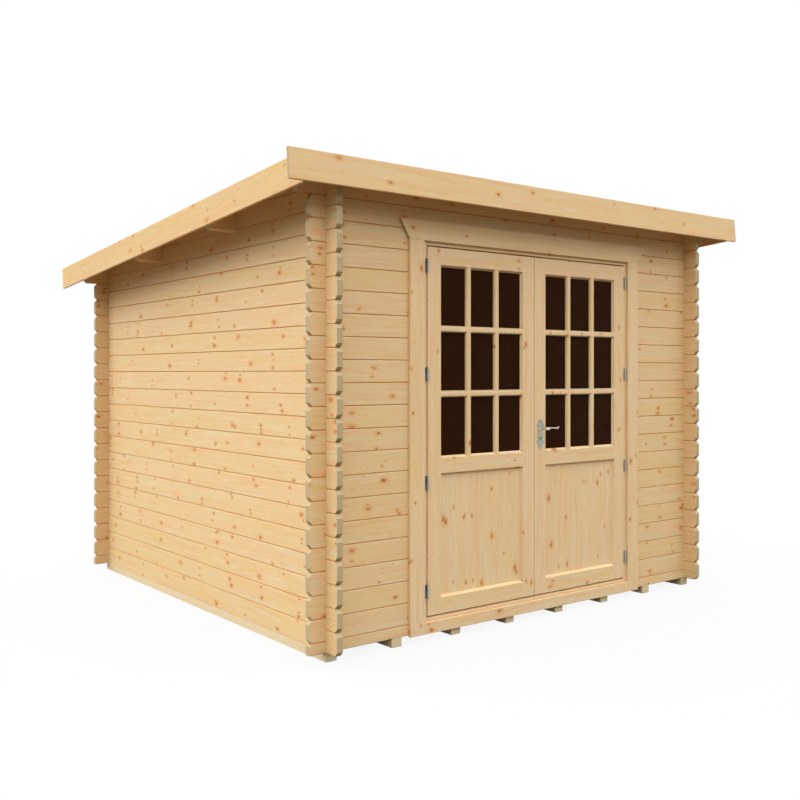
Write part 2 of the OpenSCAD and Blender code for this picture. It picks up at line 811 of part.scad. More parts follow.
// One lever, in the leaf's frame: a neck, an arm that narrows, and a curled tip
module lever() {
    arm_y = -lever_out;
    tip = lever_l - lever_t;
    translate([handle_x, 0, handle_z]) {
        rotate([90, 0, 0]) cylinder(r = neck_r, h = lever_out);
        hull() {
            translate([0, arm_y, 0]) sphere(r = neck_r, $fn = 24);
            translate([-lever_l * 0.35, arm_y, 1]) sphere(r = lever_t * 0.6, $fn = 24);
        }
        hull() {
            translate([-lever_l * 0.35, arm_y, 1]) sphere(r = lever_t * 0.55, $fn = 24);
            translate([-tip, arm_y, -2]) sphere(r = lever_t * 0.4, $fn = 24);
        }
        hull() {
            translate([-tip, arm_y, -2]) sphere(r = lever_t * 0.4, $fn = 24);
            translate([-lever_l + lever_t / 2, arm_y, lever_t * 0.5]) sphere(r = lever_t * 0.35, $fn = 24);
        }
    }
}

module lever_handle() {
    color(steel) at_right_leaf() {
        translate([handle_x, -lever_out / 2, handle_z]) rotate([-90, 0, 0])
            cylinder(r = spindle_r, h = leaf_t + lever_out);
        lever();
        translate([0, leaf_t, 0]) mirror([0, 1, 0]) lever();
    }
}

floor_joists();
floor_boards();
left_wall();
right_wall();
back_wall();
front_wall_left();
front_wall_right();
front_sill_log();
front_wall_over_door();
front_plate_log();
back_plate_log();
front_purlin();
rear_purlin();
roof_boards();
roof_felt();
front_fascia();
rear_eave_board();
left_barge_board();
right_barge_board();
left_jamb();
right_jamb();
head_jamb();
threshold();
left_casing();
right_casing();
head_casing();
sill_board();
inner_casing();
left_frame_hinges();
right_frame_hinges();
left_door_stiles();
left_door_rails();
left_door_bars();
left_door_glass();
left_door_panel();
left_door_hinges();
right_door_stiles();
right_door_rails();
right_door_bars();
right_door_glass();
right_door_panel();
right_door_hinges();
lock_plates();
lever_handle();
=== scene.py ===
"""Looks of the log cabin: planed spruce with knots, treated joists, roofing felt, glass and door fittings."""
import json
import math

import bmesh
import bpy
from mathutils import Matrix, Vector


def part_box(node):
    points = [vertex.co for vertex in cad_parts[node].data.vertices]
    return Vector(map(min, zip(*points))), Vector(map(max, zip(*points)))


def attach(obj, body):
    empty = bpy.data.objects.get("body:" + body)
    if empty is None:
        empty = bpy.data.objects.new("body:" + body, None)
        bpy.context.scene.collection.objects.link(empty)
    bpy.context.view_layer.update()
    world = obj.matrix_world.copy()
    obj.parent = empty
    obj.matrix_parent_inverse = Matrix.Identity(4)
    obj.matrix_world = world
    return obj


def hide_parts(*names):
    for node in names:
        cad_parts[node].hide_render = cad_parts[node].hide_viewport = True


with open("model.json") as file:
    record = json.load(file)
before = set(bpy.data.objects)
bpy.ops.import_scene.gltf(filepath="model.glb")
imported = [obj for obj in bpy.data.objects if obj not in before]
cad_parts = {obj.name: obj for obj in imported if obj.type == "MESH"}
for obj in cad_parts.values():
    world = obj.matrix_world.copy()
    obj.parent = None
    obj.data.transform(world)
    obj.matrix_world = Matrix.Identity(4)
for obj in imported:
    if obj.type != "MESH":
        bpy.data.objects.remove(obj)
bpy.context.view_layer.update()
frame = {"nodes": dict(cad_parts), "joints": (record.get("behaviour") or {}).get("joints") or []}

# ---- Sizes in metres, most of them read from the frame -----------------------------------------

LOG = 0.112                                   # height of a course of logs
JOISTS_LOW, JOISTS_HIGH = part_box("floor_joists")
JOIST_TOP = JOISTS_HIGH.z
WALL_FRONT = JOISTS_LOW.y                     # the joists end in line with the front wall
PLATE_LOW, PLATE_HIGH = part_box("front_plate_log")
BACK_LOW, BACK_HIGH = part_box("back_plate_log")
ROOF_SLOPE = (PLATE_HIGH.z - BACK_HIGH.z) / (BACK_LOW.y - PLATE_LOW.y)
ROOF_ANGLE = math.atan(ROOF_SLOPE)
ROOF_LIFT = 0.0003                            # keeps the roof boards off the logs they lie on


def on_roof():
    """From the roof's own frame, whose Y runs down the slope and whose Z = 0 is its underside."""
    place = Matrix.Translation((0, WALL_FRONT, PLATE_HIGH.z + ROOF_LIFT))
    return place @ Matrix.Rotation(-ROOF_ANGLE, 4, "X")


# ---- Node trees --------------------------------------------------------------------------------

class Net:
    """Adds nodes to a tree and joins their sockets."""

    def __init__(self, tree):
        self.tree = tree
        tree.nodes.clear()

    def node(self, kind, **settings):
        made = self.tree.nodes.new(kind)
        for key, value in settings.items():
            setattr(made, key, value)
        return made

    def wire(self, socket, value):
        if isinstance(value, bpy.types.NodeSocket):
            self.tree.links.new(value, socket)
        else:
            socket.default_value = value

    def calc(self, operation, *values):
        made = self.node("ShaderNodeMath", operation=operation)
        for socket, value in zip(made.inputs, values):
            self.wire(socket, value)
        return made.outputs[0]

    def vector(self, x, y, z):
        made = self.node("ShaderNodeCombineXYZ")
        for socket, value in zip(made.inputs, (x, y, z)):
            self.wire(socket, value)
        return made.outputs[0]

    def split(self, vector):
        made = self.node("ShaderNodeSeparateXYZ")
        self.wire(made.inputs[0], vector)
        return made.outputs

    def fade(self, value, start, end):
        """0 at start, 1 at end, with a smooth change between."""
        made = self.node("ShaderNodeMapRange", interpolation_type="SMOOTHSTEP")
        self.wire(made.inputs["Value"], value)
        self.wire(made.inputs["From Min"], start)
        self.wire(made.inputs["From Max"], end)
        return made.outputs[0]

    def noise(self, vector, scale=1.0, detail=2.0, roughness=0.5):
        made = self.node("ShaderNodeTexNoise")
        self.wire(made.inputs["Vector"], vector)
        self.wire(made.inputs["Scale"], scale)
        self.wire(made.inputs["Detail"], detail)
        self.wire(made.inputs["Roughness"], roughness)
        return made.outputs["Fac"]

    def chance(self, x, y, z):
        """Four random numbers that depend on the three given."""
        made = self.node("ShaderNodeTexWhiteNoise", noise_dimensions="3D")
        self.wire(made.inputs["Vector"], self.vector(x, y, z))
        parts = self.node("ShaderNodeSeparateColor")
        self.wire(parts.inputs[0], made.outputs["Color"])
        return list(parts.outputs)[:3] + [made.outputs["Value"]]

    def mix(self, factor, first, second, blend="MIX"):
        made = self.node("ShaderNodeMix", data_type="RGBA", blend_type=blend)
        self.wire(made.inputs["Factor"], factor)
        self.wire(made.inputs[6], first)
        self.wire(made.inputs[7], second)
        return made.outputs[2]

    def bump(self, height, distance, strength=1.0):
        made = self.node("ShaderNodeBump")
        self.wire(made.inputs["Height"], height)
        self.wire(made.inputs["Distance"], distance)
        self.wire(made.inputs["Strength"], strength)
        return made.outputs[0]

    def choose(self, factor, first, second):
        """The first shader where the factor is 0, the second where it is 1."""
        made = self.node("ShaderNodeMixShader")
        for socket, value in zip(made.inputs, (factor, first, second)):
            self.wire(socket, value)
        return made.outputs[0]

    def seen(self):
        """1 for what the eye sees itself, in a mirror or through glass, 0 for what only lights things."""
        path = self.node("ShaderNodeLightPath")
        return self.calc("MAXIMUM", path.outputs["Is Camera Ray"],
                         self.calc("MAXIMUM", path.outputs["Is Glossy Ray"],
                                   path.outputs["Is Transmission Ray"]))

    def principled(self, **sockets):
        made = self.node("ShaderNodeBsdfPrincipled")
        for name, value in sockets.items():
            self.wire(made.inputs[name.replace("_", " ")], value)
        out = self.node("ShaderNodeOutputMaterial")
        self.wire(out.inputs["Surface"], made.outputs[0])
        return made


def linear(red, green, blue):
    """The linear colour of the three display values, each from 0 to 255."""
    def one(value):
        value /= 255
        return value / 12.92 if value <= 0.04045 else ((value + 0.055) / 1.055) ** 2.4
    return (one(red), one(green), one(blue), 1)


def new_material(name):
    material = bpy.data.materials.new(name)
    material.use_nodes = True
    return material, Net(material.node_tree)


# ---- Spruce ------------------------------------------------------------------------------------

WHORL = 0.34                # usual distance between two places with knots along a log
KNOT_LEAST = 0.0037         # half the width of the smallest knots
KNOT_MORE = 0.0058          # how much more the largest have
KNOT_LONG = 1.7             # a knot's length to its width


def spruce_group():
    """Node group of planed spruce. Along runs with the grain, Across over the board, Depth through it."""
    tree = bpy.data.node_groups.new("planed spruce", "ShaderNodeTree")
    asked = ("Along", "Across", "Depth", "Board", "Width", "Knots", "End", "Seam")
    for name in asked:
        tree.interface.new_socket(name, in_out="INPUT", socket_type="NodeSocketFloat")
    tree.interface.new_socket("Color", in_out="OUTPUT", socket_type="NodeSocketColor")
    for name in ("Roughness", "Height"):
        tree.interface.new_socket(name, in_out="OUTPUT", socket_type="NodeSocketFloat")
    net = Net(tree)
    inside = net.node("NodeGroupInput").outputs
    along, across, depth, board, width, knots, end, shade_in_joints = (inside[name] for name in asked)

    own = net.chance(board, 3.7, 1.3)
    u = net.calc("ADD", along, net.calc("MULTIPLY", own[0], 40.0))
    cell = net.calc("FLOOR", net.calc("DIVIDE", u, WHORL))
    local = net.calc("SUBTRACT", u, net.calc("MULTIPLY", net.calc("ADD", cell, 0.5), WHORL))

    # Knots: up to three at each place, over one another across the board, longer with the grain
    nearest = bend = None
    place = net.chance(cell, board, 9.1)
    centre = net.calc("MULTIPLY", net.calc("SUBTRACT", place[0], 0.5), WHORL * 0.6)
    for index in range(3):
        # Place along, place across, size, and whether there is one at all
        pick = net.chance(cell, board, 17.3 + 5.9 * index)
        off = net.calc("ADD", centre, net.calc("MULTIPLY", net.calc("SUBTRACT", pick[0], 0.5), 0.04))
        high = net.calc("MULTIPLY", net.calc("ADD", net.calc("MULTIPLY", pick[1], 0.86), 0.07), width)
        size = net.calc("ADD", net.calc("MULTIPLY", net.calc("POWER", pick[2], 2.0), KNOT_MORE), KNOT_LEAST)
        there = net.calc("LESS_THAN", pick[3], net.calc("MULTIPLY", knots, 1.0 - 0.24 * index))
        size = net.calc("ADD", net.calc("MULTIPLY", size, there), 0.00001)
        across_off = net.calc("SUBTRACT", across, high)
        du = net.calc("DIVIDE", net.calc("SUBTRACT", local, off), net.calc("MULTIPLY", size, KNOT_LONG))
        dv = net.calc("DIVIDE", across_off, size)
        far = net.calc("SQRT", net.calc("ADD", net.calc("MULTIPLY", du, du), net.calc("MULTIPLY", dv, dv)))
        nearest = far if nearest is None else net.calc("MINIMUM", nearest, far)
        pull = net.calc("DIVIDE", across_off, net.calc("ADD", net.calc("MULTIPLY", far, far), 0.6))
        bend = pull if bend is None else net.calc("ADD", bend, pull)

    wobble = net.noise(net.vector(net.calc("MULTIPLY", u, 60.0), net.calc("MULTIPLY", across, 90.0), board),
                       1.0, 3.0, 0.6)
    near = net.calc("ADD", nearest, net.calc("MULTIPLY", net.calc("SUBTRACT", wobble, 0.5), 1.6))
    dark = net.calc("ADD", 0.45, net.calc("MULTIPLY", place[1], 0.55))
    heart = net.calc("MULTIPLY", net.fade(near, 1.35, 0.3), dark)
    glow = net.calc("POWER", net.fade(near, 3.8, 0.6), 1.7)

    # Year rings, which run with the grain and round the knots
    wave = net.noise(net.vector(net.calc("MULTIPLY", u, 1.1), net.calc("MULTIPLY", across, 7.0),
                                net.calc("ADD", net.calc("MULTIPLY", depth, 6.0), board)), 1.0, 1.0)
    drift = net.calc("MULTIPLY", net.calc("SUBTRACT", wave, 0.5), 0.11)
    grain = net.calc("ADD", net.calc("SUBTRACT", across, net.calc("MULTIPLY", bend, 0.8)), drift)
    tight = net.calc("ADD", 1150.0, net.calc("MULTIPLY", own[1], 900.0))
    ring = net.calc("SINE", net.calc("MULTIPLY", grain, tight))
    ring = net.calc("POWER", net.calc("ADD", net.calc("MULTIPLY", ring, 0.5), 0.5), 2.2)

    def along_grain(length, width, seed, detail=3.0):
        """Noise drawn out with the grain: roughly how long and how wide its streaks are, in metres."""
        inwards = net.calc("ADD", net.calc("MULTIPLY", depth, 12.0), seed)
        drawn = net.vector(net.calc("MULTIPLY", u, 1 / length), net.calc("MULTIPLY", grain, 1 / width),
                           net.calc("ADD", net.calc("MULTIPLY", board, 1.7), inwards))
        return net.noise(drawn, 1.0, detail, 0.6)

    fibre = along_grain(0.15, 0.0025, 0.0, 2.0)
    fine = along_grain(0.3, 0.007, 4.2)
    streak = along_grain(0.6, 0.022, 8.6)
    pale = along_grain(0.7, 0.03, 13.1)
    patch = along_grain(0.3, 0.07, 21.7)
    yellow = along_grain(0.22, 0.035, 31.3)

    # Small flecks: pins of knots that lie scattered over the board
    cells = net.node("ShaderNodeTexVoronoi", voronoi_dimensions="3D")
    net.wire(cells.inputs["Vector"], net.vector(net.calc("MULTIPLY", u, 17.0),
                                                net.calc("MULTIPLY", across, 30.0),
                                                net.calc("MULTIPLY", board, 7.3)))
    net.wire(cells.inputs["Scale"], 1.0)
    kinds = net.node("ShaderNodeSeparateColor")
    net.wire(kinds.inputs[0], cells.outputs["Color"])
    fleck = net.calc("MULTIPLY", net.fade(cells.outputs["Distance"], 0.16, 0.04),
                     net.calc("LESS_THAN", kinds.outputs[0], 0.3))

    # End grain: rings about a heart outside the board
    side = net.calc("SUBTRACT", across, net.calc("MULTIPLY", width, net.calc("ADD", own[2], -0.1)))
    below = net.calc("ADD", depth, 0.05)
    out = net.calc("SQRT", net.calc("ADD", net.calc("MULTIPLY", side, side),
                                    net.calc("MULTIPLY", below, below)))
    year = net.calc("SINE", net.calc("MULTIPLY", out, 1900.0))
    year = net.calc("ADD", net.calc("MULTIPLY", year, 0.5), 0.5)

    # Each layer: where it lies, how strong it is there, and its colour. The first lie lowest.
    color = net.mix(own[1], linear(232, 202, 158), linear(229, 202, 147))
    ends = net.mix(net.calc("MULTIPLY", year, 0.35), linear(188, 171, 134), linear(160, 140, 104))
    for where, strength, shade in (
            (net.fade(patch, 0.42, 0.72), 0.8, (233, 195, 152)),
            (net.fade(pale, 0.46, 0.7), 0.75, (226, 208, 167)),
            (net.fade(streak, 0.46, 0.74), 0.85, (231, 186, 134)),
            (net.fade(yellow, 0.52, 0.76), 0.7, (229, 196, 122)),
            (net.fade(fine, 0.48, 0.76), 0.6, (226, 180, 122)),
            (ring, 0.2, (210, 168, 116)),
            (net.fade(fibre, 0.42, 0.8), 0.35, (204, 164, 116)),
            (glow, 0.7, (222, 156, 90)),
            (fleck, 0.75, (216, 144, 80)),
            (heart, 0.88, (158, 91, 46))):
        color = net.mix(net.calc("MULTIPLY", where, strength), color, linear(*shade))
    color = net.mix(end, color, ends)
    # Painted shade: the wood is darkened towards each board's edge, where shade falls in the joints between
    # logs
    edge = net.calc("MINIMUM", across, net.calc("SUBTRACT", width, across))
    painted_joint_shade = net.calc("MULTIPLY", net.fade(edge, 0.0032, 0.0012), shade_in_joints)
    color = net.mix(painted_joint_shade, color, (0.78, 0.52, 0.32, 1), blend="MULTIPLY")

    outside = net.node("NodeGroupOutput").inputs
    net.wire(outside["Color"], color)
    net.wire(outside["Roughness"], net.calc("ADD", 0.5, net.calc("MULTIPLY", fibre, 0.2)))
    net.wire(outside["Height"], net.calc("ADD", net.calc("MULTIPLY", ring, 0.35),
                                         net.calc("ADD", net.calc("MULTIPLY", fibre, 0.5), heart)))
    return tree


SPRUCE = spruce_group()
AXES = {"X": 0, "Y": 1, "Z": 2}


def spruce(name, along, across, pitch, start, knots, seed=0.0, tilt=0.0, stain=None, tone=None, shade_in_joints=0.0):
    """Spruce whose grain runs along one axis and whose boards follow each other across another.

    The boards are one pitch wide from start on. Seed makes them other boards than those of other
    pieces, tone multiplies their colour, stain is a colour and its strength, and seam is how much shade is
    painted into the joints.
    """
    material, net = new_material(name)
    place = net.node("ShaderNodeTexCoord")
    point = place.outputs["Object"]
    if tilt:
        turn = net.node("ShaderNodeMapping")
        net.wire(turn.inputs["Vector"], point)
        net.wire(turn.inputs["Rotation"], (tilt, 0, 0))
        point = turn.outputs[0]
    xyz = net.split(point)
    depth = ({"X", "Y", "Z"} - {along, across}).pop()
    step = net.calc("DIVIDE", net.calc("SUBTRACT", xyz[AXES[across]], start), pitch)
    number = net.calc("FLOOR", step)
    inside = net.calc("MULTIPLY", net.calc("SUBTRACT", step, number), pitch)
    facing = net.calc("ABSOLUTE", net.split(place.outputs["Normal"])[AXES[along]])
    wood = net.node("ShaderNodeGroup", node_tree=SPRUCE)
    for socket, value in (("Along", xyz[AXES[along]]), ("Across", inside), ("Depth", xyz[AXES[depth]]),
                          ("Board", net.calc("ADD", number, seed)), ("Width", pitch), ("Knots", knots),
                          ("End", net.fade(facing, 0.5, 0.7)), ("Seam", shade_in_joints)):
        net.wire(wood.inputs[socket], value)
    color = wood.outputs["Color"]
    if tone:
        color = net.mix(1.0, color, (*tone, 1), blend="MULTIPLY")
    if stain:
        color = net.mix(stain[3], color, linear(*stain[:3]))
    shader = net.principled(Base_Color=color, Roughness=wood.outputs["Roughness"],
                            Normal=net.bump(wood.outputs["Height"], 0.0004, 0.6))
    shader.inputs["Specular IOR Level"].default_value = 0.3
    return material


def dress(material, *nodes):
    """Gives CAD nodes their material."""
    for node in nodes:
        slots = frame["nodes"][node].data.materials
        slots.clear()
        slots.append(material)


HALF_LOG = JOIST_TOP + LOG / 2            # the front and back logs lie half a log higher
FASCIA_TONE = (0.99, 0.975, 0.95)
BARGE_TONE = (0.965, 0.925, 0.82)
JOINERY_TONE = (1.03, 1.05, 1.11)         # paler, whiter wood of the door and its frame

dress(spruce("side logs", "Y", "Z", LOG, JOIST_TOP, knots=0.7, shade_in_joints=1.0), "left_wall", "right_wall")
dress(spruce("front and back logs", "X", "Z", LOG, HALF_LOG, knots=0.6, seed=50.5, shade_in_joints=1.0),
      "back_wall", "front_wall_left", "front_wall_right", "front_sill_log", "front_wall_over_door",
      "front_plate_log", "back_plate_log")
dress(spruce("purlins", "X", "Y", 0.9, 0.2, knots=0.5, seed=80.5), "front_purlin", "rear_purlin")
fascia_wood = spruce("fascia", "X", "Z", 0.2, 2.22, knots=0.6, seed=4.5, tone=FASCIA_TONE)
eave_wood = spruce("eave board", "X", "Z", 0.1, 2.05, knots=0.55, seed=14.5)
left_barge_wood = spruce("left barge board", "Y", "Z", 0.2, 2.2, knots=0.6, seed=24.5, tilt=ROOF_ANGLE,
                         tone=BARGE_TONE)
right_barge_wood = spruce("right barge board", "Y", "Z", 0.2, 2.2, knots=0.6, seed=34.5, tilt=ROOF_ANGLE,
                          tone=BARGE_TONE)

standing = spruce("standing boards", "Z", "X", 0.13, 0.06, knots=0.75, seed=500.5, tone=JOINERY_TONE)
lying = spruce("lying boards", "X", "Z", 0.4, 0.0, knots=1.8, seed=600.5, tone=JOINERY_TONE)
dress(standing, "inner_casing")
stile_wood = spruce("door stiles", "Z", "X", 0.4, 0.05, knots=1.8, seed=700.5, tone=JOINERY_TONE)
rail_wood = spruce("door rails", "X", "Z", 0.5, 0.1, knots=2.0, seed=800.5, tone=JOINERY_TONE)
panel_wood = spruce("door panels", "Z", "X", 0.092, 0.01, knots=0.65, seed=900.5, tone=JOINERY_TONE)
for side in ("left", "right"):
    dress(stile_wood, side + "_door_stiles", side + "_door_bars")
    dress(rail_wood, side + "_door_rails")
    dress(panel_wood, side + "_door_panel")

joist_wood = spruce("treated joists", "Y", "X", 0.393, 0.0, knots=0.4, seed=200.5,
                    stain=(222, 205, 168, 0.75))


# ---- Other finishes ----------------------------------------------------------------------------

def felt_material():
    """Roofing felt: bitumen with a dressing of fine slate."""
    material, net = new_material("roofing felt")
    point = net.node("ShaderNodeTexCoord").outputs["Object"]
    speck = net.noise(point, 900.0, 2.0, 0.7)
    coarse = net.noise(point, 60.0, 3.0, 0.7)
    cloud = net.noise(point, 3.0, 3.0)
    color = net.mix(net.fade(speck, 0.35, 0.65), linear(36, 39, 39), linear(84, 87, 85))
    color = net.mix(net.calc("MULTIPLY", net.fade(coarse, 0.4, 0.65), 0.4), color, linear(86, 90, 87))
    color = net.mix(net.calc("MULTIPLY", net.fade(cloud, 0.4, 0.7), 0.45), color, linear(48, 51, 50))
    net.principled(Base_Color=color, Roughness=0.9, Normal=net.bump(speck, 0.0008))
    return material


def metal(name, color, roughness, dull=0.3, scale=160.0):
    """Plated metal with duller, darker cloudy places."""
    material, net = new_material(name)
    point = net.node("ShaderNodeTexCoord").outputs["Object"]
    cloud = net.noise(point, scale, 3.0, 0.6)
    tone = net.mix(net.calc("MULTIPLY", net.fade(cloud, 0.35, 0.7), dull), linear(*color),
                   linear(*(0.45 * c for c in color)))
    rough = net.calc("ADD", roughness - 0.06, net.calc("MULTIPLY", cloud, 0.12))
    net.principled(Base_Color=tone, Roughness=rough, Metallic=1.0, Normal=net.bump(cloud, 0.0006, 0.5))
    return material


def glass_material():
    """Thin clear glass, with the dark brown of the unlit room behind it painted into its colour."""
    material, net = new_material("pane glass")
    point = net.node("ShaderNodeTexCoord").outputs["Object"]
    cloud = net.noise(point, 9.0, 2.0)
    # Painted shade: the glass's own colour is the dark brown of the shaded room behind it; the rest of the
    # room shows through
    painted_room_shade = net.mix(cloud, (0.028, 0.0085, 0.0026, 1), (0.035, 0.011, 0.0036, 1))
    shader = net.principled(Base_Color=painted_room_shade)
    shader.inputs["Roughness"].default_value = 0.04
    shader.inputs["Alpha"].default_value = 0.7
    shader.inputs["Specular IOR Level"].default_value = 0.03
    # Painted reflection: the glass's reflections are tinted brown like the shaded room behind it
    shader.inputs["Specular Tint"].default_value = (1.0, 0.6, 0.35, 1)
    return material


steel = metal("zinc plated steel", (164, 166, 160), 0.45)
pewter = metal("pewter", (182, 184, 170), 0.42, dull=0.5, scale=210.0)
bright_pewter = metal("rubbed pewter", (222, 219, 208), 0.22, dull=0.25, scale=120.0)
# Painted shade: a near-black finish for the dark behind the keyholes
keyhole_shade_finish = metal("painted keyhole shade", (34, 31, 28), 0.7)
dress(steel, "left_frame_hinges", "right_frame_hinges", "left_door_hinges", "right_door_hinges")
dress(pewter, "lock_plates")
dress(glass_material(), "left_door_glass", "right_door_glass")


# ---- Pieces made here --------------------------------------------------------------------------

PLANED_EDGE = 0.0015        # rounding on the edges of planed boards
ROOF_BOARD = 0.018          # thickness of the roof boards
FELT = 0.0028               # thickness of the felt
FELT_STRIPS = 4
FELT_LAP = 0.08             # how far each strip lies over the next
NAILS = 22                  # in each strip of felt


def extruded(bm, faces, move):
    """Extrudes the faces, moves the new ones by a matrix, and returns them."""
    edges = list(dict.fromkeys(edge for face in faces for edge in face.edges))
    made = bmesh.ops.extrude_face_region(bm, geom=faces + edges)["geom"]
    corners = [item for item in made if isinstance(item, bmesh.types.BMVert)]
    bmesh.ops.transform(bm, matrix=move, verts=corners)
    return [item for item in made if isinstance(item, bmesh.types.BMFace)]


def prism(bm, outline, run):
    """A closed prism: a flat outline of points, carried along a vector."""
    end = bm.faces.new([bm.verts.new(point) for point in outline])
    extruded(bm, [end], Matrix.Translation(run))


def sweep(bm, points, radii, sides=16):
    """A round bar through the points, with its own radius at each, closed at both ends."""
    points = [Vector(point) for point in points]
    sections = []
    side = None
    for index, point in enumerate(points):
        ahead = (points[min(index + 1, len(points) - 1)] - points[max(index - 1, 0)]).normalized()
        if side is None:
            side = ahead.orthogonal()
        side = (side - ahead * side.dot(ahead)).normalized()
        turn = Matrix((side, ahead.cross(side), ahead)).transposed().to_4x4()
        sections.append(Matrix.Translation(point) @ turn @ Matrix.Scale(radii[index], 4))
    start = bmesh.ops.create_circle(bm, cap_ends=True, segments=sides, radius=1, matrix=sections[0])
    end = list(start["verts"][0].link_faces)
    for here, there in zip(sections, sections[1:]):
        end = extruded(bm, end, there @ here.inverted())


def smooth_path(points, steps):
    """Points on a smooth curve through the given ones; each may carry its radius as a fourth number."""
    path = []
    count = len(points)
    for index in range(count - 1):
        before, here, there, beyond = (Vector(points[min(max(index + k, 0), count - 1)])
                                       for k in (-1, 0, 1, 2))
        for step in range(steps):
            t = step / steps
            path.append(0.5 * (2 * here + (there - before) * t
                               + (2 * before - 5 * here + 4 * there - beyond) * t ** 2
                               + (3 * here - 3 * there + beyond - before) * t ** 3))
    path.append(Vector(points[-1]))
    return path


def finish_piece(name, bm, material, body="cabin", instead_of=(), smooth=False, place=None):
    """Turns the mesh into a piece that rides on a body."""
    if place is not None:
        bmesh.ops.transform(bm, matrix=place, verts=bm.verts)
    bmesh.ops.recalc_face_normals(bm, faces=bm.faces)
    for face in bm.faces:
        face.smooth = smooth
    mesh = bpy.data.meshes.new(name)
    bm.to_mesh(mesh)
    bm.free()
    if smooth:
        mesh.set_sharp_from_angle(angle=math.radians(40))
    mesh.materials.append(material)
    piece = bpy.data.objects.new(name, mesh)
    bpy.context.scene.collection.objects.link(piece)
    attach(piece, body)
    if instead_of:
        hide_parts(*instead_of)


def softened(node, material):
    """A copy of a CAD node with its sharp edges rounded a little."""
    bm = bmesh.new()
    bm.from_mesh(frame["nodes"][node].data)
    bmesh.ops.remove_doubles(bm, verts=bm.verts, dist=0.00001)
    bmesh.ops.dissolve_limit(bm, angle_limit=math.radians(1), verts=bm.verts, edges=bm.edges)
    sharp = [edge for edge in bm.edges if edge.is_manifold and edge.calc_face_angle() > math.radians(25)]
    bmesh.ops.bevel(bm, geom=sharp, offset=PLANED_EDGE, offset_type="OFFSET", affect="EDGES", segments=2,
                    profile=0.5, material=-1, clamp_overlap=True)
    finish_piece(node + "_planed", bm, material, instead_of=(node,))


def floor_of_boards():
    """Floor boards side by side, with rounded edges on top."""
    low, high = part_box("floor_boards")
    count = round((high.y - low.y) / 0.088)
    pitch = (high.y - low.y) / count
    gap, soft = 0.0004, PLANED_EDGE
    bm = bmesh.new()
    for index in range(count):
        y0, y1 = low.y + index * pitch + gap, low.y + (index + 1) * pitch - gap
        prism(bm, [(low.x, y0, low.z), (low.x, y1, low.z), (low.x, y1, high.z - soft),
                   (low.x, y1 - soft, high.z), (low.x, y0 + soft, high.z), (low.x, y0, high.z - soft)],
              (high.x - low.x, 0, 0))
    wood = spruce("floor boards", "X", "Y", pitch, low.y, knots=0.5, seed=400.5)
    finish_piece("floor_of_boards", bm, wood, instead_of=("floor_boards",))


def roof_of_boards():
    """Boards down the slope, with a V between each two on the underside."""
    low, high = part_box("roof_boards")
    y0 = (low.y - WALL_FRONT) / math.cos(ROOF_ANGLE)
    y1 = (high.y - WALL_FRONT - ROOF_BOARD * math.sin(ROOF_ANGLE)) / math.cos(ROOF_ANGLE)
    count = round((high.x - low.x) / 0.09)
    pitch = (high.x - low.x) / count
    gap, vee = 0.0003, 0.0045
    bm = bmesh.new()
    for index in range(count):
        x0, x1 = low.x + index * pitch + gap, low.x + (index + 1) * pitch - gap
        prism(bm, [(x0, y0, vee), (x0 + vee, y0, 0), (x1 - vee, y0, 0), (x1, y0, vee),
                   (x1, y0, ROOF_BOARD), (x0, y0, ROOF_BOARD)], (0, y1 - y0, 0))
    wood = spruce("roof boards", "Y", "X", pitch, low.x, knots=0.5, seed=300.5)
    finish_piece("roof_of_boards", bm, wood, instead_of=("roof_boards",), place=on_roof())


def roof_of_felt():
    """Four strips of felt along the roof, each lapped over the one below it and nailed."""
    low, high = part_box("roof_felt")
    top = ROOF_BOARD + 0.0003
    y0 = (low.y - WALL_FRONT) / math.cos(ROOF_ANGLE) + 0.001
    y1 = (high.y - WALL_FRONT) / math.cos(ROOF_ANGLE) - 0.003
    rows, columns = 10, 60
    reach = (y1 - y0 + (FELT_STRIPS - 1) * FELT_LAP) / FELT_STRIPS
    bm = bmesh.new()
    heads = bmesh.new()
    for strip in range(FELT_STRIPS):
        lapped = strip < FELT_STRIPS - 1
        start = y0 + strip * (reach - FELT_LAP)
        middle = Matrix.Translation(((low.x + high.x) / 2, start + reach / 2, top + FELT + 0.0005))
        spread = Matrix.Diagonal((high.x - low.x - 0.004, reach, 1, 1))
        sheet = bmesh.ops.create_grid(bm, x_segments=columns, y_segments=rows, size=0.5,
                                      matrix=middle @ spread)["verts"]
        for point in (vert.co for vert in sheet):
            lifted = lapped and point.y > start + reach * (rows - 1.5) / rows
            wave = 0.0004 * math.sin(7.1 * point.x + 3.3 * strip) * math.sin(5.3 * point.y + 2.0 * point.x)
            point.z += wave + (FELT + 0.0004 if lifted else 0)
        faces = list(dict.fromkeys(face for vert in sheet for face in vert.link_faces))
        extruded(bm, faces, Matrix.Translation((0, 0, -FELT)))
        nail_y = start + reach - 0.025
        nail_z = top + 2 * FELT + (0.0018 if lapped else -0.0012)
        for index in range(NAILS):
            x = low.x + 0.05 + (high.x - low.x - 0.1) * index / (NAILS - 1)
            bmesh.ops.create_cone(heads, cap_ends=True, segments=10, radius1=0.005, radius2=0.0035,
                                  depth=0.0012, matrix=Matrix.Translation((x, nail_y, nail_z)))
    finish_piece("felt_strips", bm, felt_material(), instead_of=("roof_felt",),
                 place=on_roof())
    finish_piece("felt_nails", heads, steel, place=on_roof())


# ---- Door fittings -----------------------------------------------------------------------------

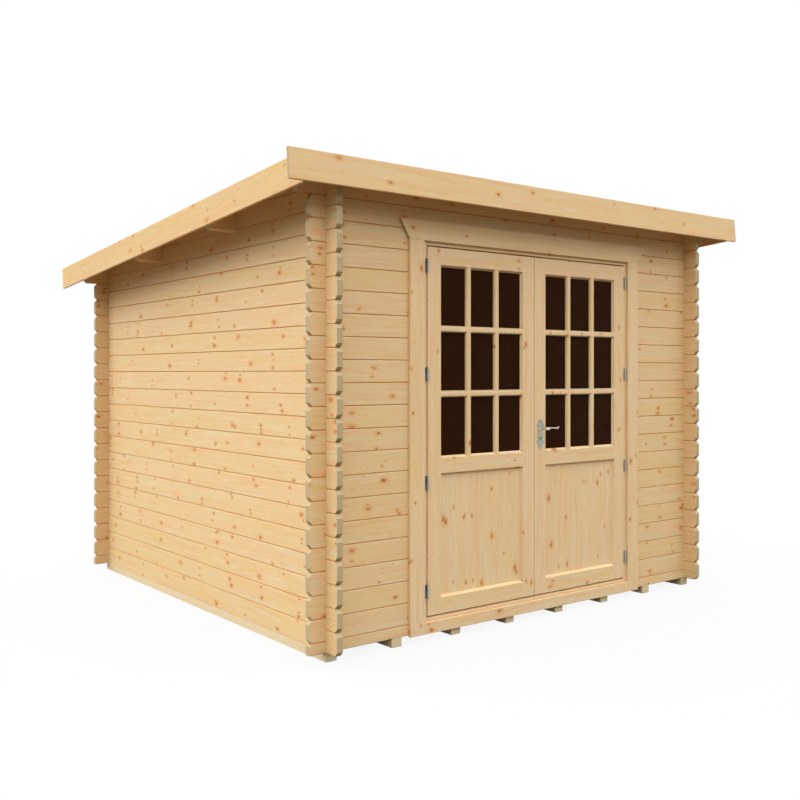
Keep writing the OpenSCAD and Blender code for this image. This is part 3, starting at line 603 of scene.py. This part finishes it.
HINGE = 0.072               # height of a hinge
HINGES = 4                  # on each leaf
HINGE_PLATE = 0.0025        # thickness of its plate
SCREW_STEP = 0.026          # distance between two screws in a plate
SCREW_IN = 0.0046           # distance of the screws from the plate's outer edge
LEVER = Vector(next(joint for joint in frame["joints"] if joint["name"] == "handle_lever")["pos_m"])
LEAF_LOW, LEAF_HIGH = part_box("right_door_stiles")
PLATES_LOW, PLATES_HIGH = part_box("lock_plates")
PLATE_FACE = PLATES_LOW.y                     # outer face of the front plate
PLATE_MIDDLE = (PLATES_HIGH.z + PLATES_LOW.z) / 2
PLATE_HALF = (PLATES_HIGH.z - PLATES_LOW.z) / 2
KEYHOLE_Z = PLATE_MIDDLE - 0.025              # middle of the keyhole's round part
KEYHOLE_R = 0.0043                            # radius of the painted shade in the keyhole, a little less than the hole itself
KEY_SLOT = Vector((0.0036, 0.0006, 0.0084))   # width, thickness and height of the painted shade in its slot

# The lever's middle line from its joint, as X, Y, Z and the radius there. The rose and the neck come out of
# the plate, the elbow turns them to the right, and a thin arm ends in a turned-up tip.
LEVER_PATH = (
    (0, 0.010, 0, 0.0072), (0, -0.0025, 0, 0.0074), (0, -0.0035, 0, 0.0125), (0, -0.0065, 0, 0.0122),
    (0, -0.012, 0, 0.0090), (0, -0.021, 0, 0.0072), (0, -0.035, 0, 0.0070), (0.002, -0.0435, 0, 0.0080),
    (0.009, -0.0485, -0.0004, 0.0095), (0.017, -0.0495, -0.0006, 0.0097),
    (0.0245, -0.0493, 0.0006, 0.0074), (0.031, -0.049, 0.0016, 0.0042),
    (0.045, -0.0487, 0.0022, 0.0034), (0.060, -0.0485, 0.0020, 0.0034),
    (0.072, -0.0483, 0.0008, 0.0038), (0.081, -0.0481, -0.0010, 0.0048),
    (0.089, -0.048, -0.0006, 0.0052), (0.095, -0.0478, 0.0030, 0.0046),
    (0.099, -0.0476, 0.0072, 0.0036), (0.1005, -0.0475, 0.0100, 0.0022))


def both_faces(bm):
    """Adds the same things on the leaf's inner face, mirrored."""
    to_middle = Matrix.Translation((0, -(LEAF_LOW.y + LEAF_HIGH.y) / 2, 0))
    bmesh.ops.mirror(bm, geom=list(bm.verts) + list(bm.edges) + list(bm.faces), matrix=to_middle,
                     merge_dist=0, axis="Y")


def oval_bead(bm, centre, radius, thick, stretch):
    """A bead about centre, on a plane across Y, whose round is stretched upwards into an oval."""
    others = set(bm.verts)
    section = bmesh.ops.create_circle(bm, segments=8, radius=thick,
                                      matrix=Matrix.Translation(centre + Vector((radius, 0, 0))))["verts"]
    edges = list(dict.fromkeys(edge for vert in section for edge in vert.link_edges))
    bmesh.ops.spin(bm, geom=section + edges, cent=centre, axis=(0, 1, 0), angle=2 * math.pi, steps=32,
                   use_merge=True)
    for vert in set(bm.verts) - others:
        outwards = (vert.co - centre) * Vector((1, 0, 1))
        vert.co.z += (stretch - 1) * radius * outwards.normalized().z


def screw_head(bm, centre, radius):
    """A low screw head that faces out of the doorway."""
    turn = Vector((0, 0, 1)).rotation_difference(Vector((0, -1, 0))).to_matrix().to_4x4()
    bmesh.ops.create_cone(bm, cap_ends=True, segments=16, radius1=radius, radius2=radius * 0.72,
                          depth=radius * 0.35, matrix=Matrix.Translation(centre) @ turn)


def plate_trim():
    """The bead round each plate's edge and its keyhole, and the two screws."""
    bm = bmesh.new()
    oval_bead(bm, Vector((LEVER.x, PLATE_FACE, KEYHOLE_Z - 0.0042)), 0.0078, 0.0012, 1.5)
    points = []
    for k in range(56):
        t = 2 * math.pi * k / 56
        high = math.sin(t)
        wide = 0.0125 + 0.0022 * math.cos(2 * math.pi * abs(high) ** 1.3 * 1.05)
        wide *= (1 - abs(high) ** 7) ** 0.5 if abs(high) < 1 else 0
        points.append((LEVER.x + math.copysign(wide, math.cos(t)), PLATE_FACE,
                       PLATE_MIDDLE + high * (PLATE_HALF - 0.0075)))
    clean = [points[0]]
    for point in points[1:]:
        if (Vector(point) - Vector(clean[-1])).length > 0.0015:
            clean.append(point)
    if (Vector(clean[-1]) - Vector(clean[0])).length < 0.0015:
        clean.pop()
    sweep(bm, clean + [clean[0]], [0.0011] * (len(clean) + 1), sides=8)
    for up in (1, -1):
        screw_head(bm, (LEVER.x, PLATE_FACE - 0.0005, PLATE_MIDDLE + up * (PLATE_HALF - 0.0145)), 0.0036)
    both_faces(bm)
    finish_piece("plate_beads", bm, pewter, "right_door", smooth=True)


def keyhole_shade_pieces():
    """Painted shade: a dark piece behind each keyhole, where the hole shows only shade."""
    bm = bmesh.new()
    deep = PLATE_FACE + 0.0024
    round_part = Matrix.Translation((LEVER.x, deep, KEYHOLE_Z)) @ Matrix.Rotation(math.pi / 2, 4, "X")
    bmesh.ops.create_cone(bm, cap_ends=True, segments=24, radius1=KEYHOLE_R, radius2=KEYHOLE_R,
                          depth=KEY_SLOT.y, matrix=round_part)
    slot = Matrix.Translation((LEVER.x, deep, KEYHOLE_Z - 0.0085)) @ Matrix.Diagonal((*KEY_SLOT, 1))
    bmesh.ops.create_cube(bm, size=1, matrix=slot)
    both_faces(bm)
    finish_piece("keyhole_shade_pieces", bm, keyhole_shade_finish, "right_door")


def lever_pair():
    """The levers on both faces of the leaf, each with its rose."""
    bm = bmesh.new()
    curve = smooth_path(LEVER_PATH, 4)
    sweep(bm, [LEVER + Vector(point[:3]) for point in curve], [point[3] for point in curve], sides=20)
    both_faces(bm)
    finish_piece("lever_pair", bm, bright_pewter, "handle", ("lever_handle",), smooth=True)


def hinge_screws():
    """Three screws in each of the four hinge plates on both sides of the frame."""
    bm = bmesh.new()
    for side, sign in (("left", -1), ("right", 1)):
        low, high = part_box(side + "_frame_hinges")
        outer = low.x if sign < 0 else high.x
        first, last = low.z + HINGE / 2, high.z - HINGE / 2
        for index in range(HINGES):
            z = first + (last - first) * index / (HINGES - 1)
            for up in (-SCREW_STEP, 0, SCREW_STEP):
                screw_head(bm, (outer - sign * SCREW_IN, high.y - HINGE_PLATE - 0.0005, z + up), 0.0028)
    finish_piece("hinge_screws", bm, steel)


floor_of_boards()
roof_of_boards()
roof_of_felt()
plate_trim()
keyhole_shade_pieces()
lever_pair()
hinge_screws()
for node, wood, slot in (
        ("front_fascia", fascia_wood, "trim_wood"), ("rear_eave_board", eave_wood, "trim_wood"),
        ("left_barge_board", left_barge_wood, "trim_wood"),
        ("right_barge_board", right_barge_wood, "trim_wood"),
        ("left_casing", standing, "trim_wood"), ("right_casing", standing, "trim_wood"),
        ("head_casing", lying, "trim_wood"), ("sill_board", lying, "trim_wood"),
        ("left_jamb", standing, "frame_wood"), ("right_jamb", standing, "frame_wood"),
        ("head_jamb", lying, "frame_wood"), ("threshold", lying, "frame_wood"),
        ("floor_joists", joist_wood, "treated_wood")):
    softened(node, wood)


# ---- Floor, light and camera -------------------------------------------------------------------

SKY_LEVEL = 13.6            # the sky as a light: how fast it grows brighter with height
SKY_TOP = 0.25              # share of that left straight above
SKY_ROUND = 0.52            # its strength all round
SKY_KEY = 0.82              # how much more comes from the left and a little behind
SKY_FILL = 0.32             # how much more comes from the front right
SKY_DIM = 0.05              # taken off everywhere, so that it starts a little above the horizon
FLOOR_SHINE = 0.9           # the floor's own white, which the eye sees
FLOOR_SHADE = (0.05, 0.05, 0.05, 1)       # what is left for the shadow to darken
FLOOR_BOUNCE = (0.112, 0.085, 0.055, 1)   # the light that the floor sends up to the cabin


def ground():
    """A wide white floor that shows the object's shadow faintly."""
    bm = bmesh.new()
    bmesh.ops.create_grid(bm, x_segments=1, y_segments=1, size=60)
    mesh = bpy.data.meshes.new("ground")
    bm.to_mesh(mesh)
    bm.free()
    floor = bpy.data.objects.new("ground", mesh)
    floor.location.z = -0.002
    bpy.context.scene.collection.objects.link(floor)
    material, net = new_material("white floor")
    matt = net.node("ShaderNodeBsdfDiffuse")
    net.wire(matt.inputs["Color"], FLOOR_BOUNCE)
    bright = net.node("ShaderNodeEmission")
    net.wire(bright.inputs["Color"], (1, 1, 1, 1))
    net.wire(bright.inputs["Strength"], FLOOR_SHINE)
    faint = net.node("ShaderNodeBsdfDiffuse")
    net.wire(faint.inputs["Color"], FLOOR_SHADE)
    both = net.node("ShaderNodeAddShader")
    net.wire(both.inputs[0], faint.outputs[0])
    net.wire(both.inputs[1], bright.outputs[0])
    out = net.node("ShaderNodeOutputMaterial")
    net.wire(out.inputs["Surface"], net.choose(net.seen(), matt.outputs[0], both.outputs[0]))
    mesh.materials.append(material)


def sky():
    """White to the eye; as a light, a soft ring above the horizon with a broad key on the left."""
    world = bpy.data.worlds.new("studio")
    bpy.context.scene.world = world
    world.use_nodes = True
    net = Net(world.node_tree)
    toward = net.split(net.node("ShaderNodeTexCoord").outputs["Generated"])
    rise = net.calc("POWER", net.calc("MAXIMUM", net.calc("ADD", toward[2], 0.05), 0.0), 2.0)
    top = net.calc("SUBTRACT", 1.0, net.calc("MULTIPLY", net.fade(toward[2], 0.6, 0.95), 1.0 - SKY_TOP))
    key = net.calc("ADD", net.calc("MULTIPLY", toward[0], -0.85), net.calc("MULTIPLY", toward[1], 0.53))
    key = net.calc("MULTIPLY", net.calc("POWER", net.calc("MAXIMUM", key, 0.0), 1.5), SKY_KEY)
    fill = net.calc("MAXIMUM", net.calc("MULTIPLY", net.calc("SUBTRACT", toward[0], toward[1]), 0.7), 0.0)
    fill = net.calc("MULTIPLY", net.calc("POWER", fill, 2.0), SKY_FILL)
    side = net.calc("ADD", SKY_ROUND, net.calc("ADD", key, fill))
    level = net.calc("MULTIPLY", net.calc("MULTIPLY", rise, top), net.calc("MULTIPLY", side, SKY_LEVEL))
    level = net.calc("MAXIMUM", net.calc("SUBTRACT", level, SKY_DIM), 0.0)
    lit = net.node("ShaderNodeBackground")
    net.wire(lit.inputs["Strength"], level)
    white = net.node("ShaderNodeBackground")
    net.wire(white.inputs["Color"], (1, 1, 1, 1))
    net.wire(white.inputs["Strength"], 1.0)
    out = net.node("ShaderNodeOutputWorld")
    net.wire(out.inputs["Surface"], net.choose(net.seen(), lit.outputs[0], white.outputs[0]))


def camera():
    """Level, off the left front corner, a little higher than the door handle."""
    data = bpy.data.cameras.new("camera")
    data.lens = 43.54
    data.sensor_width = 36
    data.shift_x = -0.0046
    data.shift_y = -0.0335
    data.clip_end = 200
    view = bpy.data.objects.new("camera", data)
    view.location = (-3.9411, -5.3306, 1.3795)
    view.rotation_euler = (math.radians(90), 0, math.radians(-37.80))
    bpy.context.scene.collection.objects.link(view)
    bpy.context.scene.camera = view


ground()
sky()
camera()
bpy.context.scene.view_settings.view_transform = "Standard"
